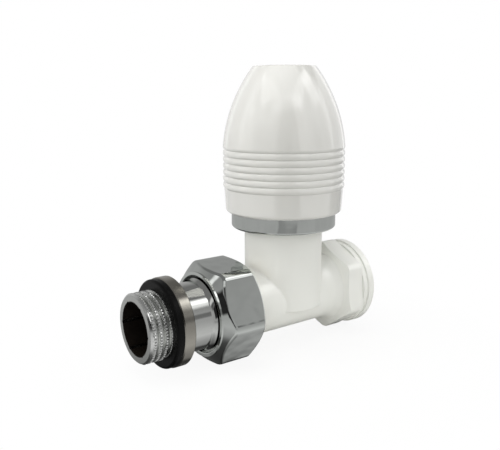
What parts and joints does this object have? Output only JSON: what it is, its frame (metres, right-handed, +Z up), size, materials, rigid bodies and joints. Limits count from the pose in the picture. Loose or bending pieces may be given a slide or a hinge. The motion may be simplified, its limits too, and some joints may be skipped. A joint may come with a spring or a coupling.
{
  "type": "manual radiator valve",
  "caption": "Straight manual radiator valve with a ribbed handwheel, upright barrel, union nut and tail with rubber seal, and a female threaded inlet.",
  "frame": {"origin": "on the tail's axis in the plane of the rubber seal's front face, which seats on the radiator", "axes": "+X from the tail to the inlet along the pipe, +Z up along the spindle, -X out of the tail's end"},
  "size_m": [0.0841, 0.0394, 0.09],
  "materials": {
    "white_enamel": "satin white enamel on brass",
    "white_plastic": "glossy moulded white",
    "chrome": "polished chrome plate",
    "nickel": "turned nickel plate",
    "black_rubber": "moulded black rubber",
    "brass": "turned brass",
    "steel": "zinc plated",
    "pale_polymer": "matte"
  },
  "bodies": {
    "tail": {"tailpiece": "chrome", "tail_seal": "black_rubber", "seal_backing_ring": "nickel"},
    "nut": {"union_nut": "chrome"},
    "valve": {"valve_body": "white_enamel", "bonnet_collar": "chrome", "bonnet": "brass", "bonnet_seal": "black_rubber", "gland_nut": "brass", "thrust_washer": "pale_polymer", "spindle_seal_lower": "black_rubber", "spindle_seal_upper": "black_rubber"},
    "disc": {"disc_holder": "brass", "seat_washer": "black_rubber", "washer_screw": "steel", "disc_clip": "steel"},
    "wheel": {"handwheel": "white_plastic", "spindle": "brass", "screw_washer": "steel", "handwheel_screw": "steel", "handwheel_cap": "white_plastic"}
  },
  "joints": [
    {"name": "union_nut_turn", "type": "hinge", "parent": "tail", "child": "nut", "pos_m": [0.02, 0, 0], "axis": [-1, 0, 0], "range_deg": [0, 1588]},
    {"name": "body_draw", "type": "slide", "parent": "tail", "child": "valve", "axis": [1, 0, 0], "range_m": [0, 0.008]},
    {"name": "disc_lift", "type": "slide", "parent": "valve", "child": "disc", "axis": [0, 0, 1], "range_m": [0, 0.0045]},
    {"name": "handwheel_turn", "type": "hinge", "parent": "disc", "child": "wheel", "pos_m": [0.04808, 0, 0], "axis": [0, 0, 1], "range_deg": [0, 1081]}
  ],
  "couplings": [
    {"joint": "union_nut_turn", "follows": "body_draw", "rad_per_m": 3463.7},
    {"joint": "handwheel_turn", "follows": "disc_lift", "rad_per_m": 4188.8}
  ]
}
